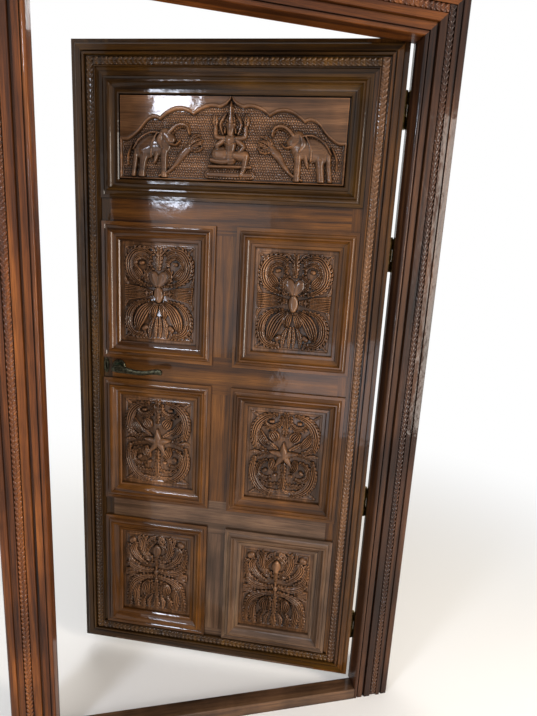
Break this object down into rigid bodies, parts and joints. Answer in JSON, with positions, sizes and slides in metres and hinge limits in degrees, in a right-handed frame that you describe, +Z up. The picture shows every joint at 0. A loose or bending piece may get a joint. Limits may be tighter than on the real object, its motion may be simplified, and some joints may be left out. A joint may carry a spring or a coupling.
{
  "type": "door",
  "caption": "Carved teak entrance door standing ajar in its rebated frame, with an arched figure panel over framed carved panels, butt hinges and a mortise lock with lever handles.",
  "frame": {"origin": "middle of the sill's underside, at the mid depth of the jambs, on the floor", "axes": "+X to the hinge side, +Y into the room that the leaf opens to, +Z up"},
  "size_m": [1.223, 0.4358, 2.219],
  "materials": {
    "leaf_teak": "varnished",
    "frame_teak": "varnished",
    "aged_bronze": "dull, darkened",
    "hinge_brass": "dull",
    "lock_steel": "plain"
  },
  "bodies": {
    "door_frame": {"head": "frame_teak", "hinge_1_frame": "hinge_brass", "hinge_2_frame": "hinge_brass", "hinge_3_frame": "hinge_brass", "hinge_4_frame": "hinge_brass", "hinge_pins": "hinge_brass", "hinge_screws_frame": "lock_steel", "jamb_hinge": "frame_teak", "jamb_lock": "frame_teak", "sill": "frame_teak", "strike_plate": "lock_steel", "strike_screws": "lock_steel"},
    "leaf": {"border_bottom": "leaf_teak", "border_hinge": "leaf_teak", "border_lock": "leaf_teak", "border_top": "leaf_teak", "hinge_1_door": "hinge_brass", "hinge_2_door": "hinge_brass", "hinge_3_door": "hinge_brass", "hinge_4_door": "hinge_brass", "hinge_screws_door": "lock_steel", "key_plate_front": "aged_bronze", "key_plate_rear": "aged_bronze", "lever_spring": "lock_steel", "lock_case": "lock_steel", "lock_cover": "lock_steel", "lock_forend": "lock_steel", "lock_screws": "lock_steel", "moulding_arch": "leaf_teak", "moulding_lower_hinge": "leaf_teak", "moulding_lower_lock": "leaf_teak", "moulding_middle_hinge": "leaf_teak", "moulding_middle_lock": "leaf_teak", "moulding_upper_hinge": "leaf_teak", "moulding_upper_lock": "leaf_teak", "muntin_lower": "leaf_teak", "muntin_middle": "leaf_teak", "muntin_upper": "leaf_teak", "panel_arch": "leaf_teak", "panel_lower_hinge": "leaf_teak", "panel_lower_lock": "leaf_teak", "panel_middle_hinge": "leaf_teak", "panel_middle_lock": "leaf_teak", "panel_upper_hinge": "leaf_teak", "panel_upper_lock": "leaf_teak", "rail_bottom": "leaf_teak", "rail_frieze": "leaf_teak", "rail_lock": "leaf_teak", "rail_lower": "leaf_teak", "rail_top": "leaf_teak", "rose_front": "aged_bronze", "rose_rear": "aged_bronze", "stile_hinge": "leaf_teak", "stile_lock": "leaf_teak"},
    "lever_handle": {"lever_front": "aged_bronze", "lever_rear": "aged_bronze", "spindle": "lock_steel", "lock_follower": "lock_steel"},
    "latch": {"latch_bolt": "lock_steel"},
    "dead_bolt_body": {"dead_bolt": "lock_steel"}
  },
  "joints": [
    {"name": "leaf_swing", "type": "hinge", "parent": "door_frame", "child": "leaf", "pos_m": [0.4965, 0.0545, 1.076], "axis": [0, 0, -1], "range_deg": [-20, 90]},
    {"name": "lever_turn", "type": "hinge", "parent": "leaf", "child": "lever_handle", "pos_m": [-0.31463, 0.31993, 1.116], "axis": [0.342, 0.9397, 0], "range_deg": [0, 35], "stiffness_Nm_per_rad": 3, "springref_deg": -20.05, "deforming": ["lever_spring"]},
    {"name": "latch_slide", "type": "slide", "parent": "leaf", "child": "latch", "axis": [0.9397, -0.342, 0], "range_m": [0, 0.011]},
    {"name": "dead_bolt_slide", "type": "slide", "parent": "leaf", "child": "dead_bolt_body", "axis": [-0.9397, 0.342, 0], "range_m": [0, 0.018]}
  ],
  "couplings": [
    {"joint": "latch_slide", "follows": "lever_turn", "m_per_rad": 0.0175}
  ]
}
